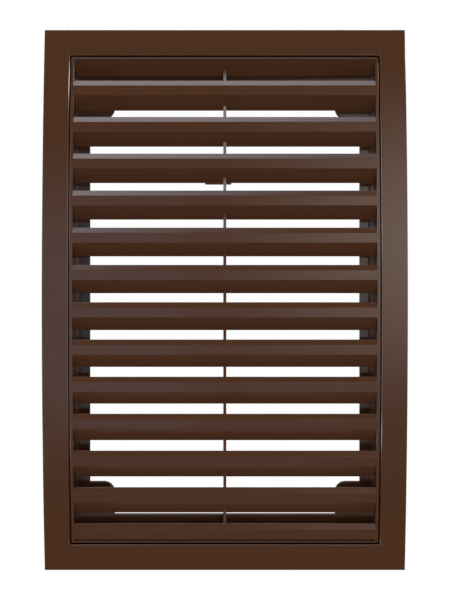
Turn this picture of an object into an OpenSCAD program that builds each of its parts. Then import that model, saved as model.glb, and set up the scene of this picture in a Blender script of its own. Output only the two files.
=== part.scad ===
// Ventilation grille in two mouldings: an arched base frame that is screwed to the wall round the
// duct, and a louvre panel that pulls straight out of it to reach the screws.
// Millimetres. The wall is the plane y = 0 and the room is on the -y side. x runs across the grille
// and z up it, and the origin is the middle of the four screw holes, on the wall.

/* [Base frame] */
// Overall width
frame_w = 300; // [280:1:340]
// Overall height
frame_h = 450; // [440:1:480]
// How far the frame stands off the wall along its top and bottom edges
edge_d = 16.5; // [15:0.5:24]
// How much further the arched front stands off the wall at mid-height
bow = 12.5; // [6:0.5:18]
// Width of the border beside the opening
side_border = 21.5; // [19:0.5:24]
// Width of the border above and below the opening
end_border = 22; // [20:0.1:25]
// Thickness of the arched front skin
skin_t = 2.2; // [1.6:0.1:3]
// Thickness of the outer skirt
skirt_t = 2; // [1.6:0.1:3]
// Thickness of the wall of the well that the louvre panel drops into
well_t = 2; // [1.6:0.1:3]
// Radius along the outer edges of the front
edge_r = 0.4; // [0.3:0.1:1.5]
// Radius along the front edges of the opening
lip_r = 1; // [0.3:0.1:1.2]

/* [Back of the base frame] */
// Thickness of the ledge that lies on the wall at the bottom of the well
ledge_t = 4.6; // [3:0.1:5.5]
// Width of the air opening in the ledge
duct_w = 229; // [215:1:235]
// Height of the air opening in the ledge
duct_h = 363; // [350:1:370]
// Width of the screw ear in each corner of the air opening
ear_w = 21; // [17:0.5:24]
// Height of the screw ear
ear_h = 27.5; // [20:0.5:32]
// Radius of the free corner of a screw ear
ear_r = 9; // [5:0.5:11]
// Diameter of a screw hole
screw_hole_d = 4.5; // [4:0.1:5]
// Diameter of the countersink at the face of the ear
screw_head_d = 8.5; // [7.5:0.1:9]
// Thickness of the stiffening webs behind the border
web_t = 1.6; // [1.2:0.1:2.5]
// How far the webs stop short of the wall
web_setback = 1.5; // [1:0.1:4]
// Stiffening webs along each side
side_webs = 6; // [3:1:9]
// Stiffening webs along the top, and along the bottom
end_webs = 4; // [2:1:6]

/* [Louvre panel] */
// Clearance beside the panel in the frame's opening, at the front
panel_gap = 1; // [0.8:0.1:1.5]
// Clearance above and below the panel, at the front
end_gap = 1.3; // [0.8:0.1:1.8]
// Clearance between the back of the panel and the ledge that it seats on
seat_gap = 0.3; // [0.2:0.1:0.5]
// Thickness of the panel's side walls
side_wall_t = 2.4; // [1.6:0.1:2.8]
// Thickness of the panel's top and bottom walls
end_wall_t = 1.1; // [1:0.1:2]
// Moulding draft of the panel's walls, in degrees
draft = 1.5; // [0.5:0.5:3]
// Width of the foot that steps inwards at the back of the panel's walls
foot_w = 1.5; // [0.8:0.1:2.5]
// Depth of the foot
foot_d = 2.4; // [1.5:0.1:3.5]
// Height of a snap nub on a side wall
nub_h = 2.3; // [1.5:0.1:4]
// Length of a snap nub, from front to back
nub_d = 6; // [4:0.5:8]
// From the panel's top or bottom edge to the middle of the nearest nub
nub_inset = 5.4; // [4:0.1:12]
// Clearance between a snap nub and the well
nub_gap = 0.2; // [0.1:0.05:0.3]

/* [Slats] */
// Slats under the header blade
slat_count = 13; // [10:1:14]
// Wall thickness of the slats
slat_t = 1.8; // [1.4:0.1:2.2]
// Height of a slat's front face
face_h = 8; // [6:0.5:9]
// Height of the lip that leans back above the face
lip_h = 4.6; // [3:0.1:5.5]
// How far the lip leans back
lip_d = 1.7; // [1:0.1:2.5]
// How far the blade drops below the face
blade_h = 10.8; // [8:0.1:11]
// How far the blade runs back from the face
blade_d = 10.7; // [8:0.1:11.5]
// Inside radius of a slat's two bends
bend_r = 0.6; // [0.3:0.1:1.2]
// Radius of the crisp edge between a slat's face and its lip
crown_r = 1.2; // [0.6:0.1:2]
// Radius of the crisp edge along the bottom of a slat's face
drip_r = 0.6; // [0.3:0.1:1.2]
// Radius of a slat's free edges
free_edge_r = 0.3; // [0.1:0.1:0.6]
// From the top wall down to the front edge of the header blade
header_drop = 0.5; // [0.4:0.1:1.5]
// How far the header blade runs back, at the slope of the other blades
header_d = 11.8; // [8:0.1:12]
// From the last slat's face down to the bottom wall
foot_gap = 2.5; // [1.5:0.1:4]

/* [Centre rib] */
// Thickness of the rib that ties the slats together
rib_t = 2.5; // [1.8:0.1:3.5]
// From the front edge of a blade back to where the rib meets its underside
rib_setback = 6.7; // [5:0.1:8]
// How far the rib's front leans back above each lip, in degrees
rib_lean = 20; // [10:1:25]
// From the front of the slats to the back of the rib
rib_reach = 14.1; // [13.6:0.1:15.5]

/* [Moulding pad] */
// Slat that carries the pad at the back of its blade
pad_slat = 3; // [1:1:12]
// Width of the pad
pad_w = 22; // [10:1:40]
// How far the pad's middle lies from the grille's middle
pad_x = -5.5; // [-30:0.5:30]
// How far the pad shows below the blade
pad_drop = 1.1; // [0.5:0.1:2]
// Thickness of the pad
pad_t = 1.4; // [1:0.1:2]

/* [Hidden] */
// Plastic colour of both mouldings
plastic = [0.31, 0.19, 0.14];
// Facets that a preview draws round a whole turn of the arch, and round a small hole
arch_fn = 1440;
hole_fn = 48;
// Straight steps that make a rounded edge
round_steps = 4;
// How far a cut runs past the face it opens
over = 1;

// The front is a cylinder along x through the top edge, the middle and the bottom edge.
arch_r = (pow(frame_h / 2, 2) + pow(bow, 2)) / (2 * bow);
front_d = edge_d + bow;
arch_y = arch_r - front_d;
opening_w = frame_w - 2 * side_border;
opening_h = frame_h - 2 * end_border;
hole_x = (duct_w - ear_w) / 2;
hole_z = (duct_h - ear_h) / 2;

panel_w = opening_w - 2 * panel_gap;
panel_h = opening_h - 2 * end_gap;
panel_back = -ledge_t - seat_gap;
inner_w = panel_w - 2 * side_wall_t;
inner_h = panel_h - 2 * end_wall_t;
nub_z = panel_h / 2 - nub_inset;
foot_space_w = inner_w - 2 * (lean(panel_back) + foot_w);
foot_space_h = inner_h - 2 * (lean(panel_back) + foot_w);

// Face bottoms run at an even pitch from the header blade down to the last slat.
header_z = inner_h / 2 - header_drop;
pitch = (inner_h - header_drop - foot_gap) / slat_count;
function face_z(k) = header_z - k * pitch;

// y of the arched front at height z
function front_y(z) = arch_y - sqrt(pow(arch_r, 2) - pow(z, 2));

// How far a drafted wall has leaned inwards at depth y
function lean(y) = tan(draft) * (y + front_d);

function slat_name(k) = str("slat_", k < 10 ? "0" : "", k);
function unit(v) = v / norm(v);

// Left-hand normal of the line from a to b: on a slat's outline it points to the back
function normal(a, b) = unit([a.y - b.y, b.x - a.x]);

// Where a wall of thickness t turns the corner b on its far side
function mitre(a, b, c, t) =
    let (n = normal(a, b), m = normal(b, c))
    b + t * (n + m) / (1 + n * m);

// Arc of radius r that replaces the corner b of the path a, b, c
function round_corner(a, b, c, r) =
    let (
        u = unit(a - b),
        v = unit(c - b),
        half = acos(u * v) / 2,
        middle = b + unit(u + v) * r / sin(half),
        from = b + u * r / tan(half) - middle,
        to = b + v * r / tan(half) - middle,
        start = atan2(from.y, from.x),
        turn = atan2(from.x * to.y - from.y * to.x, from * to)
    )
    [for (i = [0:round_steps]) middle + r * direction(start + turn * i / round_steps)];

function direction(angle) = [cos(angle), sin(angle)];

// Closed outline with the corner of each point rounded to its own radius
function rounded(points, radii) =
    let (n = len(points))
    [for (i = [0:n - 1])
        each round_corner(points[(i + n - 1) % n], points[i], points[(i + 1) % n], radii[i])];

// Outline of the sliver that a rounded edge takes off a sharp one: c is the middle of the round
function edge_sliver(c, r, from, to) =
    let (angles = [for (i = [0:round_steps]) from + (to - from) * i / round_steps])
    concat(
        [for (a = angles) c + r * direction(a)],
        [for (i = [round_steps:-1:0]) c + 2 * r * direction(angles[i])]
    );

// Extrudes an outline drawn in y and z along x
module along_x(length) {
    rotate([90, 0, 90])
        linear_extrude(height = length, center = true)
            children();
}

// Sweeps an outline drawn in radius and x along the arch, up to height reach above and below the middle
module along_arch(reach) {
    half = asin(reach / arch_r);
    translate([0, arch_y, 0])
        rotate([90, 0, 90])
            rotate_extrude(angle = 2 * half, start = 180 - half, $fn = arch_fn)
                children();
}

// Block of width w and height h centred on the grille, between depths y0 and y1
module slab(w, h, y0, y1) {
    translate([-w / 2, y0, -h / 2])
        cube([w, y1 - y0, h]);
}

// Slab whose front follows the arch, inset behind the grille's own front
module arched_slab(w, h, inset, y1) {
    intersection() {
        slab(w, h, -front_d - over, y1);
        translate([0, arch_y, 0])
            rotate([90, 0, 90])
                cylinder(r = arch_r - inset, h = w + 2 * over, center = true, $fn = arch_fn);
    }
}

// Space inside drafted walls that are w wide and h high at the front of the arch
module drafted_space(w, h, y1) {
    y0 = -front_d - over;
    intersection() {
        linear_extrude(height = h + 2 * over, center = true)
            polygon(drafted_outline(w / 2, y0, y1));
        along_x(w + 2 * over)
            polygon([for (p = drafted_outline(h / 2, y0, y1)) [p.y, p.x]]);
    }
}

function drafted_outline(half, y0, y1) = [
    [lean(y0) - half, y0],
    [half - lean(y0), y0],
    [half - lean(y1), y1],
    [lean(y1) - half, y1]
];

// Space inside the panel's walls, narrowed by the foot at their back
module panel_space() {
    difference() {
        drafted_space(inner_w, inner_h, panel_back + over);
        difference() {
            slab(opening_w, opening_h, panel_back - foot_d, panel_back + 2 * over);
            slab(foot_space_w, foot_space_h, panel_back - foot_d - over, panel_back + 3 * over);
        }
    }
}

// Puts its children in all four corners of the grille
module four_corners() {
    for (i = [0, 1], j = [0, 1])
        mirror([i, 0, 0])
            mirror([0, 0, j])
                children();
}

// Cuts that round the outer edges of the front
module outer_edge_cuts() {
    cz = frame_h / 2 - edge_r;
    cy = arch_y - sqrt(pow(arch_r - edge_r, 2) - pow(cz, 2));
    for (side = [0, 1]) {
        mirror([side, 0, 0])
            along_arch(frame_h / 2 + over)
                polygon(edge_sliver([arch_r - edge_r, frame_w / 2 - edge_r], edge_r, 0, 90));
        mirror([0, 0, side])
            along_x(frame_w + 2 * over)
                polygon(edge_sliver([cy, cz], edge_r, atan2(cz, cy - arch_y), 90));
    }
}

// Cuts that round the front edges of the opening
module opening_edge_cuts() {
    cz = opening_h / 2 + lip_r;
    cy = arch_y - sqrt(pow(arch_r - lip_r, 2) - pow(cz, 2));
    for (side = [0, 1]) {
        mirror([side, 0, 0])
            along_arch(opening_h / 2)
                polygon(edge_sliver([arch_r - lip_r, opening_w / 2 + lip_r], lip_r, 0, -90));
        mirror([0, 0, side])
            along_x(opening_w)
                polygon(edge_sliver([cy, cz], lip_r, atan2(cz, cy - arch_y), 270));
    }
}

// Webs that cross the hollow of the border from the skirt to the well
module webs() {
    y0 = -front_d - over;
    for (i = [1:side_webs])
        translate([0, 0, opening_h * (i / (side_webs + 1) - 0.5)])
            slab(frame_w, web_t, y0, -web_setback);
    for (i = [1:end_webs])
        translate([opening_w * (i / (end_webs + 1) - 0.5), 0, 0])
            slab(web_t, frame_h, y0, -web_setback);
}

// Hollow behind the border, open to the wall
module border_hollow() {
    difference() {
        arched_slab(frame_w - 2 * skirt_t, frame_h - 2 * skirt_t, skin_t, over);
        slab(opening_w + 2 * well_t, opening_h + 2 * well_t, -front_d - over, 2 * over);
        webs();
    }
}

// Screw ear in the upper right corner of the air opening, with one rounded corner
module ear() {
    corner = [duct_w / 2 - ear_w, duct_h / 2 - ear_h];
    along_y(-ledge_t - 2 * over, 2 * over)
        difference() {
            translate(corner)
                square([ear_w + over, ear_h + over]);
            difference() {
                translate(corner - [over, over])
                    square(ear_r + over);
                translate(corner + [ear_r, ear_r])
                    circle(r = ear_r, $fn = hole_fn);
            }
        }
}

// Extrudes an outline drawn in x and z from depth y0 to y1
module along_y(y0, y1) {
    translate([0, y1, 0])
        rotate([90, 0, 0])
            linear_extrude(height = y1 - y0)
                children();
}

// Countersunk hole for a wall screw, in the upper right ear
module screw_hole() {
    hole_r = screw_hole_d / 2;
    head_r = screw_head_d / 2;
    translate([hole_x, -ledge_t - over, hole_z])
        rotate([-90, 0, 0]) {
            cylinder(r = hole_r, h = ledge_t + 2 * over, $fn = hole_fn);
            cylinder(r1 = head_r + over, r2 = hole_r, h = head_r + over - hole_r, $fn = hole_fn);
        }
}

module base_frame() {
    color(plastic)
        difference() {
            arched_slab(frame_w, frame_h, 0, 0);
            outer_edge_cuts();
            opening_edge_cuts();
            border_hollow();
            slab(opening_w, opening_h, -front_d - over, -ledge_t);
            difference() {
                slab(duct_w, duct_h, -ledge_t - over, over);
                four_corners()
                    ear();
            }
            four_corners()
                screw_hole();
        }
}

// Nub on the right side wall near the top: it centres the panel in the well, and its back end is
// tapered to lead the panel in
module snap_nub() {
    y0 = front_y(nub_z) + skin_t;
    tip = opening_w / 2 - nub_gap;
    root = panel_w / 2 - side_wall_t / 2;
    rise = tip - panel_w / 2;
    translate([0, 0, nub_z])
        linear_extrude(height = nub_h, center = true)
            polygon([
                [root, y0],
                [tip - rise, y0],
                [tip, y0 + rise],
                [tip, y0 + nub_d - 2 * rise],
                [root, y0 + nub_d]
            ]);
}

module louvre_rim() {
    color(plastic)
        union() {
            difference() {
                intersection() {
                    arched_slab(panel_w, panel_h, 0, panel_back);
                    drafted_space(panel_w, panel_h, over);
                }
                panel_space();
            }
            four_corners()
                snap_nub();
        }
}

// Corners of slat k's front in y and z: the edge of the blade, the two ends of the face and the edge
// of the lip
function tail(k) = face_bottom(k) + [blade_d, -blade_h];
function face_bottom(k) = [front_y(face_z(k)), face_z(k)];
function face_top(k) = [front_y(face_z(k) + face_h), face_z(k) + face_h];
function lip(k) = face_top(k) + [lip_d, lip_h];

// Points that lie a depth t inside slat k's wall, from its lip's edge to its blade's edge
function inside_slat(k, t) = [
    lip(k) + t * normal(lip(k), face_top(k)),
    mitre(lip(k), face_top(k), face_bottom(k), t),
    mitre(face_top(k), face_bottom(k), tail(k), t),
    tail(k) + t * normal(face_bottom(k), tail(k))
];

// Outline of slat k in y and z: lip, face and blade of one wall, with crisp edges in front
function slat_outline(k) =
    let (back = inside_slat(k, slat_t))
    rounded(
        [lip(k), face_top(k), face_bottom(k), tail(k), back[3], back[2], back[1], back[0]],
        [
            free_edge_r, crown_r, drip_r, free_edge_r,
            free_edge_r, bend_r, bend_r, free_edge_r
        ]
    );

// Small bare pad at the back of a blade, with its ends cut back a little
module pad(k) {
    z = face_z(k) - blade_h;
    y0 = front_y(face_z(k)) + blade_d - slat_t / 4;
    top = z + slat_t / 2;
    translate([pad_x, 0, 0])
        along_y(y0, y0 + pad_t)
            polygon([
                [-pad_w / 2, top],
                [-pad_w / 2, z - pad_drop / 2],
                [-pad_w / 2 + pad_drop / 2, z - pad_drop],
                [pad_w / 2 - pad_drop / 2, z - pad_drop],
                [pad_w / 2, z - pad_drop / 2],
                [pad_w / 2, top]
            ]);
}

module slat(k) {
    color(plastic)
        intersection() {
            union() {
                along_x(panel_w)
                    polygon(slat_outline(k));
                if (k == pad_slat)
                    pad(k);
            }
            panel_space();
        }
}

// Blade without a face, which closes the gap over the first slat
module header_blade() {
    foot = face_bottom(0);
    end = foot + [blade_d, -blade_h] * header_d / blade_d;
    up = slat_t * normal(foot, end);
    reach = foot + up - (end - foot) * up.x / header_d;
    color(plastic)
        intersection() {
            along_x(panel_w)
                polygon(rounded(
                    [foot, end, end + up, reach],
                    [free_edge_r, free_edge_r, free_edge_r, free_edge_r]
                ));
            panel_space();
        }
}

// Front of the rib in y and z, from the top down: it leans forward from the underside of each blade to
// the lip below, and runs inside the slats' walls between them
function rib_front() = [
    [face_bottom(0).x + rib_setback, panel_h / 2],
    for (k = [1:slat_count])
        each concat(
            [under_blade(k - 1), rib_foot(k), lip_root(k)],
            [for (i = [1, 2]) inside_slat(k, slat_t / 2)[i]]
        ),
    under_blade(slat_count),
    [face_bottom(slat_count).x + rib_setback, -panel_h / 2]
];

// Where the rib's front reaches the lip of slat k. It stands at the lip's edge or behind it.
function rib_foot(k) =
    let (
        top = under_blade(k - 1),
        edge = inside_slat(k, 2 * free_edge_r)[0]
    )
    [max(edge.x, top.x - tan(rib_lean) * (top.y - edge.y)), edge.y];

// Point in the middle of the wall of slat k's lip, just below the lip's edge
function lip_root(k) =
    inside_slat(k, slat_t / 2)[0] + slat_t / 2 * unit(face_top(k) - lip(k));

// Where the rib meets the underside of blade k
function under_blade(k) = face_bottom(k) + [blade_d, -blade_h] * rib_setback / blade_d;

// Upright rib behind the slats: each slat lies in a notch of its own
module centre_rib() {
    color(plastic)
        difference() {
            intersection() {
                along_x(rib_t)
                    polygon(concat(rib_front(), [[0, -panel_h / 2], [0, panel_h / 2]]));
                along_arch(panel_h / 2)
                    translate([arch_r - rib_reach, -rib_t])
                        square([rib_reach, 2 * rib_t]);
                panel_space();
                slab(panel_w, panel_h, -front_d, panel_back);
            }
            header_blade();
            for (k = [1:slat_count])
                slat(k);
        }
}

base_frame();
louvre_rim();
header_blade();
for (k = [1:slat_count])
    slat(k);
centre_rib();
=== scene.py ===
"""Ventilation grille: an arched base frame that is screwed to the wall, and a louvre panel in it.

Sizes are in millimetres and angles in degrees, as on a drawing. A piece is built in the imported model's
own axes (x across, y into the wall, z up) and scaled to metres once it is finished.
"""
import logging
import math
from collections.abc import Mapping, Sequence
from dataclasses import dataclass
from enum import Enum
from itertools import product

import bmesh
import bpy
from mathutils import Matrix, Vector


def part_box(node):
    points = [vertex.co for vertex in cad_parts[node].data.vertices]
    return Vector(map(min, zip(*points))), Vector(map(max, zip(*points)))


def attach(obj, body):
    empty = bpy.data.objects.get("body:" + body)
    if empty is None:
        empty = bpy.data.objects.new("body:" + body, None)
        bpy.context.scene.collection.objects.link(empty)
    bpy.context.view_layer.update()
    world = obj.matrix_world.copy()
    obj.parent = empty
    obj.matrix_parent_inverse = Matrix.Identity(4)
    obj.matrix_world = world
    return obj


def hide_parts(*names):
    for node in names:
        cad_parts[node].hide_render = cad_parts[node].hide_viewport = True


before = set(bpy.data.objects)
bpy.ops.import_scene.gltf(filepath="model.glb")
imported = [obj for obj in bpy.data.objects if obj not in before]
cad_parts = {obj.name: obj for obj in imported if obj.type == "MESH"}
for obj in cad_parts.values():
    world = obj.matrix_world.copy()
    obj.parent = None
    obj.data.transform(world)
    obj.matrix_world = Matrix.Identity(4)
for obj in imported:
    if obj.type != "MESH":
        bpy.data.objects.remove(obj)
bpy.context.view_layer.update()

LOG = logging.getLogger("ventilation_grille")

Colour = tuple[float, float, float]
Setting = str | int | float | bool | tuple[float, ...]

MM = 0.001
# Points closer than this are one point.
MERGE = 0.0005
# How far a rounded edge's flats run straight on before the next point.
EASE = 0.2
# How far a cutter reaches past what it cuts.
PAST = 1.0
# The angle from which an edge stays crisp.
CRISP = 40.0
# Straight steps in a rounded edge, an ear's free corner, a hole, a bevel, each side of a wall, a flat that
# has to follow the arch, the back of the centre rib, and the rim of the floor.
ROUND_STEPS = 6
EAR_STEPS = 16
HOLE_STEPS = 48
BEVEL_STEPS = 2
WALL_STEPS = 48
FLAT_STEPS = 5
RIB_STEPS = 60
FLOOR_STEPS = 96
# The corners of a square, in order round it.
SQUARE = ((-1, -1), (1, -1), (1, 1), (-1, 1))

PLASTIC_IOR = 1.5
# Size of the clouds in the plastic's colour and gloss, and the value that a noise lies about.
CLOUD_SIZE = 60.0
NOISE_MIDDLE = 0.5
WHITE = (1.0, 1.0, 1.0, 1.0)
DAYLIGHT = (0.95, 0.98, 1.0)
LAMPLIGHT = (1.0, 0.97, 0.93)
# From where on the camera sees, in metres.
NEAREST = 0.01
# How a lamp is turned to face along y, and along x.
UPRIGHT = (90.0, 0.0, 0.0)
SIDEWAYS = (90.0, 0.0, 90.0)


class Body(Enum):
    """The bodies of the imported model."""

    BASE = "base"
    PANEL = "louvre_panel"


class Slot(Enum):
    """The record's material slots."""

    FRAME = "frame_plastic"
    LOUVRE = "louvre_plastic"


class Join(Enum):
    """How one solid is combined with another."""

    ADD = "UNION"
    CUT = "DIFFERENCE"


class Value:
    """A socket of a node tree. Arithmetic on it adds Math nodes to the tree."""

    def __init__(self, graph: "Graph", socket: bpy.types.NodeSocket) -> None:
        """Wraps an output socket of a tree."""
        self.graph = graph
        self.socket = socket

    def math(self, operation: str, *operands: "Value | float") -> "Value":
        """Adds a Math node with these operands and returns its result."""
        return self.graph.value("ShaderNodeMath", {"operation": operation}, dict(enumerate(operands)))

    def __add__(self, other: "Value | float") -> "Value":
        """Returns self + other."""
        return self.math("ADD", self, other)

    def __radd__(self, other: float) -> "Value":
        """Returns other + self."""
        return self.math("ADD", other, self)

    def __sub__(self, other: "Value | float") -> "Value":
        """Returns self - other."""
        return self.math("SUBTRACT", self, other)

    def __rsub__(self, other: float) -> "Value":
        """Returns other - self."""
        return self.math("SUBTRACT", other, self)

    def __mul__(self, other: "Value | float") -> "Value":
        """Returns self * other."""
        return self.math("MULTIPLY", self, other)

    def __truediv__(self, other: "Value | float") -> "Value":
        """Returns self / other."""
        return self.math("DIVIDE", self, other)

    def __abs__(self) -> "Value":
        """Returns the value without its sign."""
        return self.math("ABSOLUTE", self)

    def root(self) -> "Value":
        """Returns the square root."""
        return self.math("SQRT", self)

    def at_least(self, other: "Value | float") -> "Value":
        """Returns the larger of the two."""
        return self.math("MAXIMUM", self, other)

    def at_most(self, other: "Value | float") -> "Value":
        """Returns the smaller of the two."""
        return self.math("MINIMUM", self, other)

    def ramp(self, low: float, high: float) -> "Value":
        """Returns a share that rises from 0 at low to 1 at high, with a soft start and end."""
        settings = {"interpolation_type": "SMOOTHSTEP"}
        return self.graph.value("ShaderNodeMapRange", settings, {0: self, 1: low, 2: high})

    def parts(self) -> "tuple[Value, Value, Value]":
        """Returns the x, y and z of a vector."""
        node = self.graph.add("ShaderNodeSeparateXYZ", inputs={0: self})
        return tuple(Value(self.graph, socket) for socket in node.outputs)


class Graph:
    """Adds nodes to one node tree."""

    def __init__(self, tree: bpy.types.NodeTree) -> None:
        """Wraps the tree that nodes are added to."""
        self.tree = tree

    def add(
        self,
        kind: str,
        settings: Mapping[str, Setting] | None = None,
        inputs: "Mapping[str | int, Value | Setting] | None" = None,
    ) -> bpy.types.Node:
        """Adds one node.

        Args:
            kind: The node's type.
            settings: The node's own properties, which are set first.
            inputs: A value or a link for each named or numbered socket.

        Returns:
            The node.
        """
        node = self.tree.nodes.new(kind)
        for name, setting in (settings or {}).items():
            setattr(node, name, setting)
        for key, value in (inputs or {}).items():
            if isinstance(value, Value):
                self.tree.links.new(value.socket, node.inputs[key])
            else:
                node.inputs[key].default_value = value
        return node

    def value(
        self,
        kind: str,
        settings: Mapping[str, Setting] | None = None,
        inputs: "Mapping[str | int, Value | Setting] | None" = None,
        output: str | int = 0,
    ) -> Value:
        """Adds one node, as add does, and returns its named or numbered output."""
        return Value(self, self.add(kind, settings, inputs).outputs[output])

    def vector(self, x: "Value | float", y: "Value | float", z: "Value | float") -> Value:
        """Returns a vector made of three numbers."""
        return self.value("ShaderNodeCombineXYZ", inputs={0: x, 1: y, 2: z})


class ShaderGraph(Graph):
    """The node tree of a material or of the world, emptied first."""

    def __init__(self, owner: bpy.types.Material | bpy.types.World) -> None:
        """Empties the owner's tree.

        Args:
            owner: The material or world.
        """
        owner.use_nodes = True
        owner.node_tree.nodes.clear()
        super().__init__(owner.node_tree)
        self.owner = owner

    def noise(self, place: Value, size: float, detail: float) -> Value:
        """Returns a noise about 0.5, with blotches of a size in millimetres and so many finer layers."""
        inputs = {"Vector": place, "Scale": 1 / (size * MM), "Detail": detail}
        return self.value("ShaderNodeTexNoise", inputs=inputs)

    def blend(self, share: Value, first: Colour, second: Colour) -> Value:
        """Mixes two colours.

        Args:
            share: How much of the second colour there is.
            first: The first colour.
            second: The second colour.

        Returns:
            The mixed colour.
        """
        node = self.add("ShaderNodeMix", {"data_type": "RGBA"})
        sockets = {socket.identifier: socket for socket in (*node.inputs, *node.outputs)}
        self.tree.links.new(share.socket, sockets["Factor_Float"])
        sockets["A_Color"].default_value = (*first, 1.0)
        sockets["B_Color"].default_value = (*second, 1.0)
        return Value(self, sockets["Result_Color"])

    def close(self, shader: Value) -> bpy.types.Material | bpy.types.World:
        """Ends the tree in a shader.

        Args:
            shader: What the surface or the surroundings show.

        Returns:
            The material or world.
        """
        world = isinstance(self.owner, bpy.types.World)
        self.add("ShaderNodeOutputWorld" if world else "ShaderNodeOutputMaterial", inputs={"Surface": shader})
        return self.owner


class GeometryTree(Graph):
    """A Geometry Nodes tree with named sizes. It ends in Realize Instances and Set Material."""

    KINDS = {int: "NodeSocketInt", float: "NodeSocketFloat"}
    MARKS = ("section", "station", "bowed")

    def __init__(self, name: str, arch: "Arch", sizes: Mapping[str, int | float]) -> None:
        """Makes the tree and its inputs.

        Args:
            name: The tree's name.
            arch: The arch of the front.
            sizes: The other named sizes and their values.
        """
        super().__init__(bpy.data.node_groups.new(name, "GeometryNodeTree"))
        self.sizes = {**sizes, "Arch Radius": arch.radius}
        sockets = self.tree.interface
        sockets.new_socket("Geometry", in_out="OUTPUT", socket_type="NodeSocketGeometry")
        sockets.new_socket("Geometry", in_out="INPUT", socket_type="NodeSocketGeometry")
        sockets.new_socket("Finish", in_out="INPUT", socket_type="NodeSocketMaterial")
        for size, value in self.sizes.items():
            sockets.new_socket(size, in_out="INPUT", socket_type=self.KINDS[type(value)])
        self.source = self.add("NodeGroupInput")

    def input(self, name: str) -> Value:
        """Returns one of the tree's inputs."""
        return Value(self, self.source.outputs[name])

    def position(self) -> Value:
        """Returns the position field."""
        return self.value("GeometryNodeInputPosition")

    def store(self, geometry: Value, name: str, value: Value) -> Value:
        """Keeps a vector on each point and returns the geometry."""
        inputs = {"Geometry": geometry, "Name": name, "Value": value}
        return self.value("GeometryNodeStoreNamedAttribute", {"data_type": "FLOAT_VECTOR"}, inputs)

    def read(self, name: str, kind: str = "FLOAT_VECTOR") -> Value:
        """Returns a kept value as a field."""
        return self.value("GeometryNodeInputNamedAttribute", {"data_type": kind}, {"Name": name})

    def move(self, geometry: Value, x: "Value | float", y: "Value | float", z: "Value | float") -> Value:
        """Puts each point at x, y, z and returns the geometry."""
        inputs = {"Geometry": geometry, "Position": self.vector(x, y, z)}
        return self.value("GeometryNodeSetPosition", inputs=inputs)

    def sweep(self, path: Value) -> Value:
        """Sweeps the object's own mesh, a closed section, along a path.

        Args:
            path: The path, a curve.

        Returns:
            The swept mesh. Its points keep their place in the section and on the path.
        """
        marked = self.store(self.input("Geometry"), "section", self.position())
        section = self.value("GeometryNodeMeshToCurve", inputs={"Mesh": marked})
        path = self.store(path, "station", self.position())
        inputs = {"Curve": path, "Profile Curve": section, "Fill Caps": True}
        return self.value("GeometryNodeCurveToMesh", inputs=inputs)

    def repeat(self, points: Value, solid: Value) -> Value:
        """Puts a real copy of a solid on each point.

        Args:
            points: The points.
            solid: What is copied.

        Returns:
            The copies.
        """
        inputs = {"Points": points, "Instance": solid}
        copies = self.value("GeometryNodeInstanceOnPoints", inputs=inputs)
        return self.value("GeometryNodeRealizeInstances", inputs={"Geometry": copies})

    def rise(self, z: Value) -> Value:
        """Returns how far the arch has fallen back towards the wall at height z."""
        radius = self.input("Arch Radius")
        return radius - (radius * radius - z * z).root()

    def lean(self, y: Value) -> Value:
        """Returns how far a drafted wall has leaned inwards at depth y."""
        return (y - self.input("Front")) * self.input("Draft")

    def close(self, geometry: Value) -> None:
        """Ends the tree.

        Args:
            geometry: What the tree has made.
        """
        real = self.value("GeometryNodeRealizeInstances", inputs={"Geometry": geometry})
        inputs = {"Geometry": real, "Material": self.input("Finish")}
        dressed = self.value("GeometryNodeSetMaterial", inputs=inputs)
        self.add("NodeGroupOutput", inputs={"Geometry": dressed})

    def run(self, piece: bpy.types.Object, finish: bpy.types.Material) -> None:
        """Runs the tree on a piece and keeps the result as the piece's own mesh.

        Args:
            piece: The object whose mesh the tree starts from.
            finish: The material that it sets.
        """
        modifier = piece.modifiers.new(self.tree.name, "NODES")
        modifier.node_group = self.tree
        settings = {**self.sizes, "Finish": finish}
        for item in self.tree.interface.items_tree:
            if item.in_out == "INPUT" and item.name in settings:
                modifier[item.identifier] = settings[item.name]
        flatten(piece)
        marks = piece.data.attributes
        for name in self.MARKS:
            if name in marks:
                marks.remove(marks[name])
        face_outwards(piece)


def flatten(piece: bpy.types.Object) -> None:
    """Turns a piece's modifiers into its own mesh.

    Args:
        piece: The piece.
    """
    depsgraph = bpy.context.evaluated_depsgraph_get()
    mesh = bpy.data.meshes.new_from_object(piece.evaluated_get(depsgraph), depsgraph=depsgraph)
    sketch = piece.data
    piece.modifiers.clear()
    piece.data = mesh
    mesh.name = piece.name
    bpy.data.meshes.remove(sketch)


def face_outwards(piece: bpy.types.Object) -> None:
    """Merges a closed mesh's doubled points and turns its faces outwards.

    Args:
        piece: The piece.
    """
    work = bmesh.new()
    work.from_mesh(piece.data)
    bmesh.ops.remove_doubles(work, verts=work.verts, dist=MERGE)
    bmesh.ops.recalc_face_normals(work, faces=work.faces)
    work.to_mesh(piece.data)
    work.free()


def make_piece(
    name: str,
    points: Sequence[Vector],
    edges: Sequence[tuple[int, int]] = (),
    faces: Sequence[Sequence[int]] = (),
    bowed: Sequence[float] = (),
) -> bpy.types.Object:
    """Makes an object from points, edges and faces.

    Args:
        name: The object's name.
        points: The points.
        edges: Pairs of points.
        faces: Loops of points.
        bowed: How far each point follows the arch, from 0 to 1.

    Returns:
        The object, linked to the scene.
    """
    mesh = bpy.data.meshes.new(name)
    mesh.from_pydata([tuple(point) for point in points], edges, faces)
    if bowed:
        mesh.attributes.new("bowed", "FLOAT", "POINT").data.foreach_set("value", bowed)
    piece = bpy.data.objects.new(name, mesh)
    bpy.context.scene.collection.objects.link(piece)
    return piece


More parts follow.
